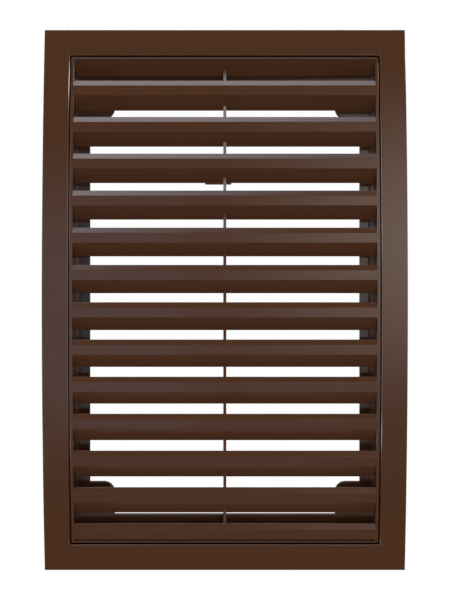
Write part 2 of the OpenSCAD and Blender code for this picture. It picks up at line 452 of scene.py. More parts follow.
def make_outline(name: str, points: Sequence[Vector], bowed: Sequence[float] = ()) -> bpy.types.Object:
    """Makes a closed line of points, for a tree to sweep."""
    count = len(points)
    return make_piece(name, points, [(i, (i + 1) % count) for i in range(count)], bowed=bowed)


def loft(
    name: str, outlines: Sequence[Sequence[Vector]], bowed: Sequence[float] = ()
) -> bpy.types.Object:
    """Makes a closed solid through a row of outlines.

    Args:
        name: The object's name.
        outlines: Outlines with the same number of points.
        bowed: How far each point follows the arch.

    Returns:
        The solid, closed by the first and the last outline.
    """
    count = len(outlines[0])
    faces = [list(range(count)), [len(outlines) * count - 1 - i for i in range(count)]]
    for row, i in product(range(len(outlines) - 1), range(count)):
        here, there, j = row * count, (row + 1) * count, (i + 1) % count
        faces.append([here + i, here + j, there + j, there + i])
    piece = make_piece(name, [point for outline in outlines for point in outline], (), faces, bowed)
    face_outwards(piece)
    return piece


def combine(piece: bpy.types.Object, tool: bpy.types.Object, join: Join) -> None:
    """Adds a tool to a piece, or cuts the piece with it.

    Args:
        piece: The piece that is changed.
        tool: The other solid, which is removed afterwards.
        join: Whether it is added or cut away.
    """
    modifier = piece.modifiers.new(join.name, "BOOLEAN")
    modifier.operation = join.value
    modifier.solver = "MANIFOLD"
    modifier.object = tool
    flatten(piece)
    mesh = tool.data
    bpy.data.objects.remove(tool)
    bpy.data.meshes.remove(mesh)


def angles(turn: float, steps: int) -> list[float]:
    """Returns the angles from 0 to a turn, both included, in equal steps."""
    return [turn * step / steps for step in range(steps + 1)]


def round_corner(before: Vector, corner: Vector, after: Vector, radius: float) -> list[Vector]:
    """Rounds one corner of an outline, with a point on the flat at either side of the round.

    Args:
        before: The corner before it.
        corner: The corner.
        after: The corner after it.
        radius: The radius, or 0 for a sharp corner.

    Returns:
        The points that replace the corner.
    """
    if not radius:
        return [corner]
    u = (before - corner).normalized()
    v = (after - corner).normalized()
    half = u.angle(v) / 2
    middle = corner + (u + v).normalized() * radius / math.sin(half)
    reach = radius / math.tan(half)
    start = corner + u * reach - middle
    turn = start.angle_signed(corner + v * reach - middle)
    arc = []
    for angle in angles(-turn, ROUND_STEPS):
        cos, sin = math.cos(angle), math.sin(angle)
        arc.append(middle + Vector((start.x * cos - start.y * sin, start.x * sin + start.y * cos)))
    return [corner + u * (reach + EASE), *arc, corner + v * (reach + EASE)]


def round_outline(corners: Sequence[tuple[Vector, float]]) -> list[Vector]:
    """Rounds the corners of a closed outline.

    Args:
        corners: Each corner and its radius.

    Returns:
        The points of the rounded outline.
    """
    count = len(corners)
    points = []
    for i, (corner, radius) in enumerate(corners):
        points += round_corner(corners[i - 1][0], corner, corners[(i + 1) % count][0], radius)
    return points


@dataclass(frozen=True)
class Arch:
    """The cylinder along x that the front of the grille lies on.

    Attributes:
        height: Height of the grille.
        front: Depth of the front at mid-height.
        bow: How much further the front stands out at mid-height than at its ends.
    """

    height: float
    front: float
    bow: float = 12.5

    @property
    def radius(self) -> float:
        """Radius of the cylinder."""
        return ((self.height / 2) ** 2 + self.bow**2) / (2 * self.bow)

    def rise(self, z: float) -> float:
        """Returns how far the front has fallen back towards the wall at height z."""
        return self.radius - math.sqrt(self.radius**2 - z**2)

    def front_at(self, z: float) -> float:
        """Returns the depth of the front at height z."""
        return self.front + self.rise(z)


@dataclass(frozen=True)
class WallCorner:
    """A corner of the section through a wall that runs round a rectangle.

    Attributes:
        side: How far it lies inside the outer edge, at the sides.
        end: How far it lies inside the outer edge, at the top and bottom.
        depth: Its depth at mid-height.
        radius: The radius that rounds it.
        bowed: Whether it follows the arch.
    """

    side: float
    end: float
    depth: float
    radius: float
    bowed: bool


class WallTree(GeometryTree):
    """Sweeps the section of a wall round a rectangle and bends its front to the arch.

    The section is the object's own mesh: x and z are how far a point lies inside the outer edge at the
    sides and at the ends, y is its depth, and "bowed" says whether it follows the arch.
    """

    def __init__(self, name: str, arch: Arch, width: float, height: float, draft: float = 0.0) -> None:
        """Builds the tree.

        Args:
            name: The tree's name.
            arch: The arch of the front.
            width: Width over the wall's outer edges, at the front.
            height: Height over the wall's outer edges, at the front.
            draft: How far the wall leans inwards for each millimetre of depth.
        """
        sizes = {
            "Half Width": width / 2,
            "Half Height": height / 2,
            "Front": arch.front,
            "Draft": draft,
            "Steps": WALL_STEPS,
        }
        super().__init__(name, arch, sizes)
        # The path's sides lie at 1 and -1, so that a station is a share of half the width and height.
        square = self.value("GeometryNodeCurvePrimitiveQuadrilateral", inputs={"Width": 2.0, "Height": 2.0})
        path = self.value("GeometryNodeSubdivideCurve", inputs={"Curve": square, "Cuts": self.input("Steps")})
        swept = self.sweep(path)
        side, depth, end = self.read("section").parts()
        across, up, _ = self.read("station").parts()
        y = depth + self.read("bowed", "FLOAT") * self.rise(up * (self.input("Half Height") - end))
        lean = self.lean(y)
        x = across * (self.input("Half Width") - side - lean)
        z = up * (self.input("Half Height") - end - lean)
        self.close(self.move(swept, x, y, z))


def wall_outline(name: str, corners: Sequence[WallCorner]) -> bpy.types.Object:
    """Rounds the corners of a wall's section and makes the outline that WallTree sweeps.

    Args:
        name: The object's name.
        corners: The corners of the section, in order.

    Returns:
        The outline, as an object.
    """
    count = len(corners)
    points, bowed = [], []
    for i, corner in enumerate(corners):
        before, after = corners[i - 1], corners[(i + 1) % count]
        planes = []
        for inset in ("side", "end"):
            spots = [Vector((getattr(c, inset), c.depth)) for c in (before, corner, after)]
            planes.append(round_corner(*spots, corner.radius))
        rounded = [Vector((side.x, side.y, end.x)) for side, end in zip(*planes)]
        if before.bowed and corner.bowed:
            last, first = points[-1], rounded[0]
            between = [last.lerp(first, step / FLAT_STEPS) for step in range(1, FLAT_STEPS)]
            rounded = between + rounded
        points += rounded
        bowed += [float(corner.bowed)] * len(rounded)
    return make_outline(name, points, bowed)


class GridTree(GeometryTree):
    """Copies the object's own mesh onto an upright grid. Its "bowed" points follow the arch."""

    def __init__(self, name: str, arch: Arch, counts: Sequence[int], span: Sequence[float]) -> None:
        """Builds the tree.

        Args:
            name: The tree's name.
            arch: The arch of the front.
            counts: Copies across the grid, and up the grid.
            span: Width and height between the outermost copies.
        """
        sizes = {"Across": counts[0], "Up": counts[1], "Width": span[0], "Height": span[1]}
        super().__init__(name, arch, sizes)
        names = {"Size X": "Width", "Size Y": "Height", "Vertices X": "Across", "Vertices Y": "Up"}
        inputs = {socket: self.input(size) for socket, size in names.items()}
        flat = self.value("GeometryNodeMeshGrid", inputs=inputs)
        x, y, _ = self.position().parts()
        copies = self.repeat(self.move(flat, x, 0.0, y), self.input("Geometry"))
        x, y, z = self.position().parts()
        self.close(self.move(copies, x, y + self.read("bowed", "FLOAT") * self.rise(z), z))


@dataclass(frozen=True)
class MouldedPlastic:
    """ABS plastic as it leaves a polished mould.

    Attributes:
        name: The material's name.
        colour: The plastic's colour.
        drift: Share by which the colour drifts from place to place.
        roughness: How much the gloss is blurred.
        haze: How far the roughness drifts.
        grain: Size and height of the fine grain.
        ripple: Size and height of the faint waves that shrinkage leaves.
    """

    name: str
    colour: Colour
    drift: float
    roughness: float
    haze: float
    grain: tuple[float, float]
    ripple: tuple[float, float]

    def build(self) -> bpy.types.Material:
        """Makes the material.

        Returns:
            The material.
        """
        graph = ShaderGraph(bpy.data.materials.new(self.name))
        place = graph.value("ShaderNodeTexCoord", output="Object")
        cloud = graph.noise(place, CLOUD_SIZE, detail=3.0)
        dark = tuple(channel * (1 - self.drift) for channel in self.colour)
        light = tuple(channel * (1 + self.drift) for channel in self.colour)
        grain_size, grain_height = self.grain
        ripple_size, ripple_height = self.ripple
        fine = graph.noise(place, grain_size, detail=1.0)
        wave = graph.noise(place, ripple_size, detail=0.0)
        height = fine * grain_height + wave * ripple_height
        relief = {"Height": height, "Distance": MM, "Strength": 1.0}
        inputs = {
            "Base Color": graph.blend(cloud, dark, light),
            "Roughness": self.roughness + (cloud - NOISE_MIDDLE) * self.haze,
            "IOR": PLASTIC_IOR,
            "Normal": graph.value("ShaderNodeBump", inputs=relief),
        }
        return graph.close(graph.value("ShaderNodeBsdfPrincipled", inputs=inputs))


def hand_over(
    piece: bpy.types.Object, body: Body, finish: bpy.types.Material, replaced: Sequence[str]
) -> None:
    """Scales a finished piece to metres, dresses it and gives it to its body.

    Args:
        piece: The piece.
        body: The body that it rides on.
        finish: Its material.
        replaced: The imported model's nodes that it stands for.
    """
    mesh = piece.data
    mesh.transform(Matrix.Scale(MM, 4))
    mesh.materials.clear()
    mesh.materials.append(finish)
    mesh.polygons.foreach_set("material_index", [0] * len(mesh.polygons))
    mesh.shade_smooth()
    mesh.set_sharp_from_angle(angle=math.radians(CRISP))
    weighted = piece.modifiers.new("weighted_normals", "WEIGHTED_NORMAL")
    weighted.keep_sharp = True
    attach(piece, body.value)
    if replaced:
        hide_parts(*replaced)
    LOG.info("%s: %d faces, rides on %s", piece.name, len(mesh.polygons), body.value)


@dataclass(frozen=True)
class BaseFrame:
    """The base frame: an arched border with a skirt, a well, a ledge and four screw ears.

    Attributes:
        arch: The arch of the front.
        width: Overall width.
        side_border: Width of the border beside the opening.
        end_border: Width of the border above and below the opening.
        skin: Thickness of the arched front.
        skirt: Thickness of the outer skirt.
        well: Thickness of the wall of the well.
        edge_radius: Radius along the outer edges of the front.
        lip_radius: Radius along the front edges of the opening.
        inner_radius: Radius of the small rounds behind and inside.
        ledge: Thickness of the ledge.
        duct_width: Width of the air opening in the ledge.
        duct_height: Height of the air opening.
        ear_width: Width of a screw ear.
        ear_height: Height of a screw ear.
        ear_radius: Radius of an ear's free corner.
        screw_hole: Diameter of a screw hole.
        screw_head: Diameter of its countersink.
        web: Thickness of a web behind the border.
        web_setback: How far the webs stop short of the wall.
        side_webs: Webs along each side.
        end_webs: Webs along the top, and along the bottom.
    """

    arch: Arch
    width: float
    side_border: float = 21.5
    end_border: float = 22.0
    skin: float = 2.2
    skirt: float = 2.0
    well: float = 2.0
    edge_radius: float = 0.4
    lip_radius: float = 1.0
    inner_radius: float = 0.3
    ledge: float = 4.6
    duct_width: float = 229.0
    duct_height: float = 363.0
    ear_width: float = 21.0
    ear_height: float = 27.5
    ear_radius: float = 9.0
    screw_hole: float = 4.5
    screw_head: float = 8.5
    web: float = 1.6
    web_setback: float = 1.5
    side_webs: int = 6
    end_webs: int = 4

    @property
    def opening(self) -> tuple[float, float]:
        """Width and height of the opening that holds the panel."""
        return self.width - 2 * self.side_border, self.arch.height - 2 * self.end_border

    def section(self) -> list[WallCorner]:
        """Lays out the section through the border, the well and the ledge.

        Returns:
            Its corners, in order.
        """
        front, back = self.arch.front, 0.0
        side, end = self.side_border, self.end_border
        duct_side = (self.width - self.duct_width) / 2
        duct_end = (self.arch.height - self.duct_height) / 2
        small = self.inner_radius
        inner = front + self.skin
        return [
            WallCorner(0, 0, back, small, False),
            WallCorner(0, 0, front, self.edge_radius, True),
            WallCorner(side, end, front, self.lip_radius, True),
            WallCorner(side, end, -self.ledge, small, False),
            WallCorner(duct_side, duct_end, -self.ledge, small, False),
            WallCorner(duct_side, duct_end, back, small, False),
            WallCorner(side - self.well, end - self.well, back, small, False),
            WallCorner(side - self.well, end - self.well, inner, small, True),
            WallCorner(self.skirt, self.skirt, inner, small, True),
            WallCorner(self.skirt, self.skirt, back, small, False),
        ]

    def web_block(self, across: float, up: float) -> bpy.types.Object:
        """Makes one web, whose front lies inside the skin.

        Args:
            across: Its size along x.
            up: Its size along z.

        Returns:
            The web, about the middle of the grille.
        """
        depths = (self.arch.front + self.skin / 2, -self.web_setback)
        rings = [[Vector((sx * across / 2, y, sz * up / 2)) for sx, sz in SQUARE] for y in depths]
        return loft("web", rings, [1.0] * len(SQUARE) + [0.0] * len(SQUARE))

    def webs(self, finish: bpy.types.Material) -> list[bpy.types.Object]:
        """Makes the webs along the sides and along the ends.

        Args:
            finish: The material that the trees set.

        Returns:
            One object for the sides and one for the ends.
        """
        width, height = self.opening
        # A row's last number says whether its pairs stand as across and up (1) or the other way round (-1).
        rows = (
            ("Webs Beside", self.side_border, self.width, height, self.side_webs, 1),
            ("Webs Above", self.end_border, self.arch.height, width, self.end_webs, -1),
        )
        webs = []
        for name, border, overall, length, count, order in rows:
            reach = border - (self.skirt + self.well) / 2
            apart = overall - border + self.skirt - self.well
            between = length * (count - 1) / (count + 1)
            block = self.web_block(*(reach, self.web)[::order])
            tree = GridTree(name, self.arch, (2, count)[::order], (apart, between)[::order])
            tree.run(block, finish)
            webs.append(block)
        return webs

    def ear(self, sx: int, sz: int) -> bpy.types.Object:
        """Makes one screw ear, with its front edge rounded.

        Args:
            sx: 1 for the right side, -1 for the left.
            sz: 1 for the top, -1 for the bottom.

        Returns:
            The ear, which reaches into the ledge.
        """
        overlap, small = self.ledge / 2, self.inner_radius
        right, high = self.duct_width / 2 + overlap, self.duct_height / 2 + overlap
        levels = [
            (small * (1 - math.sin(a)), -self.ledge + small * (1 - math.cos(a)))
            for a in angles(math.pi / 2, ROUND_STEPS)
        ]
        rings = []
        for inset, depth in (*levels, (0.0, 0.0)):
            left = self.duct_width / 2 - self.ear_width + inset
            low = self.duct_height / 2 - self.ear_height + inset
            radius = self.ear_radius - inset
            arc = [
                (left + radius * (1 - math.cos(a)), low + radius * (1 - math.sin(a)))
                for a in angles(math.pi / 2, EAR_STEPS)
            ]
            outline = [(left, high), *arc, (right, low), (right, high)]
            rings.append([Vector((sx * x, depth, sz * z)) for x, z in outline])
        return loft("ear", rings)

    def screw_cutter(self) -> bpy.types.Object:
        """Makes the solid that cuts a countersunk hole.

        Returns:
            The cutter, about the middle of the grille.
        """
        hole, head = self.screw_hole / 2, self.screw_head / 2
        start = -self.ledge - PAST
        rows = ((head + PAST, start), (hole, start + head + PAST - hole), (hole, PAST))
        turns = angles(math.tau, HOLE_STEPS)[:-1]
        rings = [[Vector((r * math.cos(a), y, r * math.sin(a))) for a in turns] for r, y in rows]
        return loft("screw_cutter", rings)

    def build(self, finish: bpy.types.Material) -> None:
        """Makes the base frame and hands it over.

        Args:
            finish: Its material.
        """
        piece = wall_outline("base_frame_moulding", self.section())
        WallTree("Border Round The Opening", self.arch, self.width, self.arch.height).run(piece, finish)
        for webs in self.webs(finish):
            combine(piece, webs, Join.ADD)
        for sx, sz in product((-1, 1), repeat=2):
            combine(piece, self.ear(sx, sz), Join.ADD)
        cutters = self.screw_cutter()
        apart = self.duct_width - self.ear_width, self.duct_height - self.ear_height
        GridTree("Screw Holes", self.arch, (2, 2), apart).run(cutters, finish)
        combine(piece, cutters, Join.CUT)
        hand_over(piece, Body.BASE, finish, ["base_frame"])


@dataclass(frozen=True)
class Rows:
    """Where a row of slats lies.

    Attributes:
        count: How many there are.
        first: Height of the first one's bottom front edge.
        pitch: From one to the next.
        face: Height of the face that follows the arch.
    """

    count: int
    first: float
    pitch: float
    face: float


class SlatTree(GeometryTree):
    """Runs the section of a slat from side wall to side wall and repeats it down the panel.

    The section is the object's own mesh: y is measured from the front of the face and z from its bottom
    edge. Each copy follows the arch at its own height, and its ends follow the drafted walls.
    """

    def __init__(self, name: str, arch: Arch, half: float, draft: float, rows: Rows) -> None:
        """Builds the tree.

        Args:
            name: The tree's name.
            arch: The arch of the front.
            half: Half the length of a slat at the front.
            draft: How much shorter each half is for each millimetre of depth.
            rows: Where the slats lie.
        """
        sizes = {
            "Count": rows.count,
            "First Height": rows.first,
            "Pitch": rows.pitch,
            "Face Height": rows.face,
            "Half Length": half,
            "Front": arch.front,
            "Draft": draft,
        }
        super().__init__(name, arch, sizes)
        ends = {"Start": (-1.0, 0.0, 0.0), "End": (1.0, 0.0, 0.0)}
        bar = self.sweep(self.value("GeometryNodeCurvePrimitiveLine", inputs=ends))
        _, depth, height = self.read("section").parts()
        across, _, _ = self.read("station").parts()
        inputs = {
            "Count": self.input("Count"),
            "Start Location": self.vector(0.0, 0.0, self.input("First Height")),
            "Offset": self.vector(0.0, 0.0, 0.0 - self.input("Pitch")),
        }
        heights = self.value("GeometryNodeMeshLine", inputs=inputs)
        slats = self.repeat(heights, self.move(bar, across, depth, height))
        across, _, z = self.position().parts()
        on_face = height.at_least(0.0).at_most(self.input("Face Height"))
        y = depth + self.input("Front") + self.rise(z - height + on_face)
        self.close(self.move(slats, across * (self.input("Half Length") - self.lean(y)), y, z))


@dataclass(frozen=True)
class LouvrePanel:
    """The louvre panel: a drafted rim with snap nubs, a header blade, slats and a centre rib.

    Attributes:
        base: The base frame that it sits in.
        side_gap: Clearance beside the panel, at the front.
        end_gap: Clearance above and below it.
        seat_gap: Clearance between its back and the ledge.
        side_wall: Thickness of its side walls.
        end_wall: Thickness of its top and bottom walls.
        draft_angle: Draft of its walls.
        foot_width: Width of the foot at the back of its walls.
        foot_depth: Depth of that foot.
        wall_radius: Radius of the rim's front edges.
        nub_height: Height of a snap nub.
        nub_depth: Length of a snap nub from front to back.
        nub_inset: From the panel's top or bottom edge to the middle of a nub.
        nub_gap: Clearance between a nub and the well.
        slat_count: Slats under the header blade.
        slat: Wall thickness of the slats.
        face: Height of a slat's face.
        lip: How far its lip leans back and how high it is.
        blade: How far its blade runs back and how far it drops.
        bend_radius: Inside radius of its bends.
        crown_radius: Radius of the edge between its face and its lip.
        drip_radius: Radius of the edge along the bottom of its face.
        edge_radius: Radius of its free edges.
        header_drop: From the top wall down to the header blade.
        header_depth: How far the header blade runs back.
        foot_gap: From the last face down to the bottom wall.
        rib: Thickness of the centre rib.
        rib_setback: From the front edge of a blade back to where the rib meets it.
        rib_lean: How far the rib's front leans back above each lip, in degrees.
        rib_reach: From the front of the slats to the back of the rib.
        pad_slat: The slat that carries the moulding pad.
        pad_width: Width of the pad.
        pad_x: How far its middle lies from the grille's middle.
        pad_drop: How far it shows below the blade.
        pad_thickness: Thickness of the pad.
        root: How far the slats are moulded into the walls that they end at.
    """

    base: BaseFrame
    side_gap: float = 1.0
    end_gap: float = 1.3
    seat_gap: float = 0.3
    side_wall: float = 2.4
    end_wall: float = 1.1
    draft_angle: float = 1.5
    foot_width: float = 1.5
    foot_depth: float = 2.4
    wall_radius: float = 0.3
    nub_height: float = 2.3
    nub_depth: float = 6.0
    nub_inset: float = 5.4
    nub_gap: float = 0.2
    slat_count: int = 13
    slat: float = 1.8
    face: float = 8.0
    lip: tuple[float, float] = (1.7, 4.6)
    blade: tuple[float, float] = (10.7, -10.8)
    bend_radius: float = 0.6
    crown_radius: float = 1.2
    drip_radius: float = 0.6
    edge_radius: float = 0.3
    header_drop: float = 0.5
    header_depth: float = 11.8
    foot_gap: float = 2.5
    rib: float = 2.5
    rib_setback: float = 6.7
    rib_lean: float = 20.0
    rib_reach: float = 14.1
    pad_slat: int = 3
    pad_width: float = 22.0
    pad_x: float = -5.5
    pad_drop: float = 1.1
    pad_thickness: float = 1.4
    root: float = 0.4

    @property
    def size(self) -> tuple[float, float]:
        """Width and height over the rim, at the front."""
        width, height = self.base.opening
        return width - 2 * self.side_gap, height - 2 * self.end_gap

    @property
    def inside(self) -> tuple[float, float]:
        """Width and height inside the rim, at the front."""
        width, height = self.size
        return width - 2 * self.side_wall, height - 2 * self.end_wall

    @property
    def back(self) -> float:
        """Depth of the back of the panel."""
        return -self.base.ledge - self.seat_gap

    @property
    def draft(self) -> float:
        """How far the walls lean inwards for each millimetre of depth."""
        return math.tan(math.radians(self.draft_angle))

    @property
    def header_z(self) -> float:
        """Height of the header blade's front edge."""
        return self.inside[1] / 2 - self.header_drop

    @property
    def pitch(self) -> float:
        """From one slat to the next."""
        return (self.inside[1] - self.header_drop - self.foot_gap) / self.slat_count

    def face_bottom(self, k: int) -> Vector:
        """Returns the depth and height of the bottom edge of slat k's face."""
        z = self.header_z - k * self.pitch
        return Vector((self.base.arch.front_at(z), z))

    def slat_wall(self, inset: float, bottom: Vector, top: Vector) -> list[Vector]:
        """Lays out the line a depth inset inside a slat's front, from its lip to its blade.

        Args:
            inset: How far behind the front the line runs.
            bottom: The bottom edge of the face.
            top: The top edge of the face.

        Returns:
            The line's four points.
        """
        line = [top + Vector(self.lip), top, bottom, bottom + Vector(self.blade)]
        normals = []
        for a, b in zip(line, line[1:]):
            along = (b - a).normalized()
            normals.append(Vector((-along.y, along.x)))
        inner = [line[0] + inset * normals[0]]
        for corner, n, m in zip(line[1:3], normals, normals[1:]):
            inner.append(corner + inset * (n + m) / (1 + n.dot(m)))
        return [*inner, line[3] + inset * normals[2]]

    def slat_section(self) -> list[Vector]:
        """Lays out the rounded section of a slat, from the bottom front edge of its face.

        Returns:
            Its points, in depth and height.
        """
        bottom, top = Vector((0.0, 0.0)), Vector((0.0, self.face))
        front = self.slat_wall(0.0, bottom, top)
        back = self.slat_wall(self.slat, bottom, top)
        bend, edge = self.bend_radius, self.edge_radius
        radii = [edge, self.crown_radius, self.drip_radius, edge, edge, bend, bend, edge]
        return round_outline(list(zip(front + back[::-1], radii)))

    def header_section(self) -> list[Vector]:
        """Lays out the rounded section of the header blade, which has no face and ends in the top wall.

        Returns:
            Its points, in depth and height.
        """
        tail = Vector(self.blade) * self.header_depth / self.blade[0]
        along = tail.normalized()
        up = self.slat * Vector((-along.y, along.x))
        slope = tail.y / tail.x
        top = self.header_drop + self.root - self.draft * self.base.arch.rise(self.header_z)
        inner = (top - up.y + slope * up.x) / (slope + self.draft)
        upper = [Vector((inner, top - self.draft * inner)), Vector((0.0, top))]
        corners = [Vector((0.0, 0.0)), tail, tail + up, *upper]
        return round_outline([(corner, self.edge_radius) for corner in corners])

    def bars(
        self, name: str, section: Sequence[Vector], rows: Rows, finish: bpy.types.Material
    ) -> bpy.types.Object:
        """Makes a row of slats or blades.

        Args:
            name: The piece's name.
            section: Their section, in depth and height.
            rows: Where they lie.
            finish: Their material.

        Returns:
            The bars, as one object.
        """
        piece = make_outline(name, [Vector((0.0, point.x, point.y)) for point in section])
        half = self.inside[0] / 2 + self.root
        tree = SlatTree(name.replace("_", " ").title(), self.base.arch, half, self.draft, rows)
        tree.run(piece, finish)
        return piece

    def underfloor(self) -> bpy.types.Object:
        """Makes what lies below the inside of the bottom wall, where the last blade ends.

        Returns:
            The block that is cut off.
        """
        half, front = self.size[0] / 2, self.base.arch.front
        level, low = -self.inside[1] / 2 - self.root, -self.size[1]
        profile = ((front, level), (0.0, level - self.draft * front), (0.0, low), (front, low))
        return loft("underfloor", [[Vector((x, y, z)) for y, z in profile] for x in (-half, half)])

    def rim(self, finish: bpy.types.Material) -> bpy.types.Object:
        """Makes the rim and its four snap nubs.

        Args:
            finish: Their material.

        Returns:
            The rim.
        """
        front, back, small = self.base.arch.front, self.back, self.wall_radius
        toe = back - self.foot_depth
        side, end, foot = self.side_wall, self.end_wall, self.foot_width
        corners = [
            WallCorner(0, 0, back, small, False),
            WallCorner(0, 0, front, small, True),
            WallCorner(side, end, front, small, True),
            WallCorner(side, end, toe, small, False),
            WallCorner(side + foot, end + foot, toe, small, False),
            WallCorner(side + foot, end + foot, back, small, False),
        ]
        piece = wall_outline("louvre_rim_walls", corners)
        WallTree("Rim Round The Panel", self.base.arch, *self.size, self.draft).run(piece, finish)
        for sx, sz in product((-1, 1), repeat=2):
            combine(piece, self.nub(sx, sz), Join.ADD)
        return piece

    def nub(self, sx: int, sz: int) -> bpy.types.Object:
        """Makes one snap nub, tapered towards its ends.

        Args:
            sx: 1 for the right side wall, -1 for the left.
            sz: 1 for the top, -1 for the bottom.

        Returns:
            The nub, which reaches into the wall.
        """
        z = self.size[1] / 2 - self.nub_inset
        start = self.base.arch.front_at(z) + self.base.skin
        tip = self.base.opening[0] / 2 - self.nub_gap
        root = (self.size[0] - self.side_wall) / 2
        rise = tip - self.size[0] / 2
        outline = (
            (root, start),
            (tip - rise, start),
            (tip, start + rise),
            (tip, start + self.nub_depth - 2 * rise),
            (root, start + self.nub_depth),
        )
        levels = (sz * z - self.nub_height / 2, sz * z + self.nub_height / 2)
        return loft("nub", [[Vector((sx * x, y, level)) for x, y in outline] for level in levels])

    def centre_rib(self) -> bpy.types.Object:
        """Makes the rib, whose front leans forward from each blade to the lip below it.

        Returns:
            The rib, which ends in the top and bottom walls.
        """
        arch, half = self.base.arch, self.size[1] / 2 - self.end_wall / 2
        blade = Vector(self.blade) * self.rib_setback / self.blade[0]
        slope = math.tan(math.radians(self.rib_lean))
        front = [Vector((self.face_bottom(0).x + self.rib_setback, half))]
        for k in range(1, self.slat_count + 1):
            bottom = self.face_bottom(k)
            crown = Vector((arch.front_at(bottom.y + self.face), bottom.y + self.face))
            top = self.face_bottom(k - 1) + blade
            edge = self.slat_wall(2 * self.edge_radius, bottom, crown)[0]
            middle = self.slat_wall(self.slat / 2, bottom, crown)
            foot = Vector((max(edge.x, top.x - slope * (top.y - edge.y)), edge.y))
            root = middle[0] - self.slat / 2 * Vector(self.lip).normalized()
            front += [top, foot, root, middle[1], middle[2]]
        last = self.face_bottom(self.slat_count)
        front.append(last - blade * (last.y + half) / blade.y)
        heights = [half * (2 * step / RIB_STEPS - 1) for step in range(RIB_STEPS + 1)]
        back = [Vector((min(arch.front_at(z) + self.rib_reach, self.back), z)) for z in heights]
        sides = (-self.rib / 2, self.rib / 2)
        return loft("centre_rib_web", [[Vector((x, p.x, p.y)) for p in front + back] for x in sides])

    def pad(self) -> bpy.types.Object:
        """Makes the small bare pad at the back of one blade.

        Returns:
            The pad, with its edges bevelled.
        """
        bottom = self.face_bottom(self.pad_slat)
        low = bottom.y + self.blade[1]
        start = bottom.x + self.blade[0] - self.slat / 4
        half, cut = self.pad_width / 2, self.pad_drop / 2
        top = low + self.slat / 2
        shape = (
            (-half, top),
            (-half, low - cut),
            (cut - half, low - self.pad_drop),
            (half - cut, low - self.pad_drop),
            (half, low - cut),
            (half, top),
        )
        depths = (start, start + self.pad_thickness)
        piece = loft("moulding_pad", [[Vector((self.pad_x + x, y, z)) for x, z in shape] for y in depths])
        bevel = piece.modifiers.new("edges", "BEVEL")
        bevel.width = self.edge_radius / 2
        bevel.segments = BEVEL_STEPS
        flatten(piece)
        return piece

    def build(self, finish: bpy.types.Material) -> None:
        """Makes the panel's pieces and hands them over.

        Args:
            finish: Their material.
        """
        down = Rows(self.slat_count, self.header_z - self.pitch, self.pitch, self.face)
        slats = self.bars("slats", self.slat_section(), down, finish)
        combine(slats, self.underfloor(), Join.CUT)
        above = Rows(1, self.header_z, self.pitch, self.header_drop)
        header = self.bars("header_blade_bar", self.header_section(), above, finish)
        names = [f"slat_{k:02d}" for k in range(1, self.slat_count + 1)]
        replaced = (
            (self.rim(finish), ["louvre_rim"]),
            (header, ["header_blade"]),
            (slats, names),
            (self.centre_rib(), ["centre_rib"]),
            (self.pad(), []),
        )
        for piece, nodes in replaced:
            hand_over(piece, Body.PANEL, finish, nodes)


@dataclass(frozen=True)
class GlowCard:
    """A lamp: a clear card that glows in its middle and fades towards its edges. Its sizes are in metres.

    Attributes:
        name: The lamp's name.
        place: Where its middle is.
        turn: How it is turned about x, y and z. Unturned, it lies level.
        size: Its width and depth.
        strength: How bright its middle is.
        colour: Its colour.
        fade: Share of its half-width, and of its half-depth, over which it fades.
        mirrored: Whether it shows in the gloss.
        lights: Whether it lights the matt share of a surface.
        edge_colour: The colour that it fades to, where that differs.
    """

    name: str
    place: tuple[float, float, float]
    turn: tuple[float, float, float]
    size: tuple[float, float]
    strength: float
    colour: Colour
    fade: tuple[float, float]
    mirrored: bool = True
    lights: bool = True
    edge_colour: Colour | None = None

    def finish(self) -> bpy.types.Material:
        """Makes the glow.

        Returns:
            The card's material. It lets all light through, so that the cards hide nothing.
        """
        graph = ShaderGraph(bpy.data.materials.new(self.name))
        x, y, _ = graph.value("ShaderNodeTexCoord", output="Object").parts()
        share = 1.0
        for part, size, fade in zip((x, y), self.size, self.fade):
            share = (1 - (abs(part) / (size / 2)).ramp(1 - fade, 1.0)) * share
        colour = graph.blend(share, self.edge_colour or self.colour, self.colour)
        glow = graph.value("ShaderNodeEmission", inputs={"Color": colour, "Strength": share * self.strength})
        clear = graph.value("ShaderNodeBsdfTransparent")
        return graph.close(graph.value("ShaderNodeAddShader", inputs={0: glow, 1: clear}))

    def build(self) -> None:
        """Makes the card, which the camera itself doesn't see."""
        width, depth = self.size
        corners = [Vector((sx * width / 2, sy * depth / 2, 0)) for sx, sy in SQUARE]
        card = make_piece(self.name, corners, faces=[range(len(SQUARE))])
        card.location = self.place
        card.rotation_euler = [math.radians(angle) for angle in self.turn]
        card.data.materials.append(self.finish())
        card.visible_camera = False
        card.visible_shadow = False
        card.visible_glossy = self.mirrored
        card.visible_diffuse = self.lights


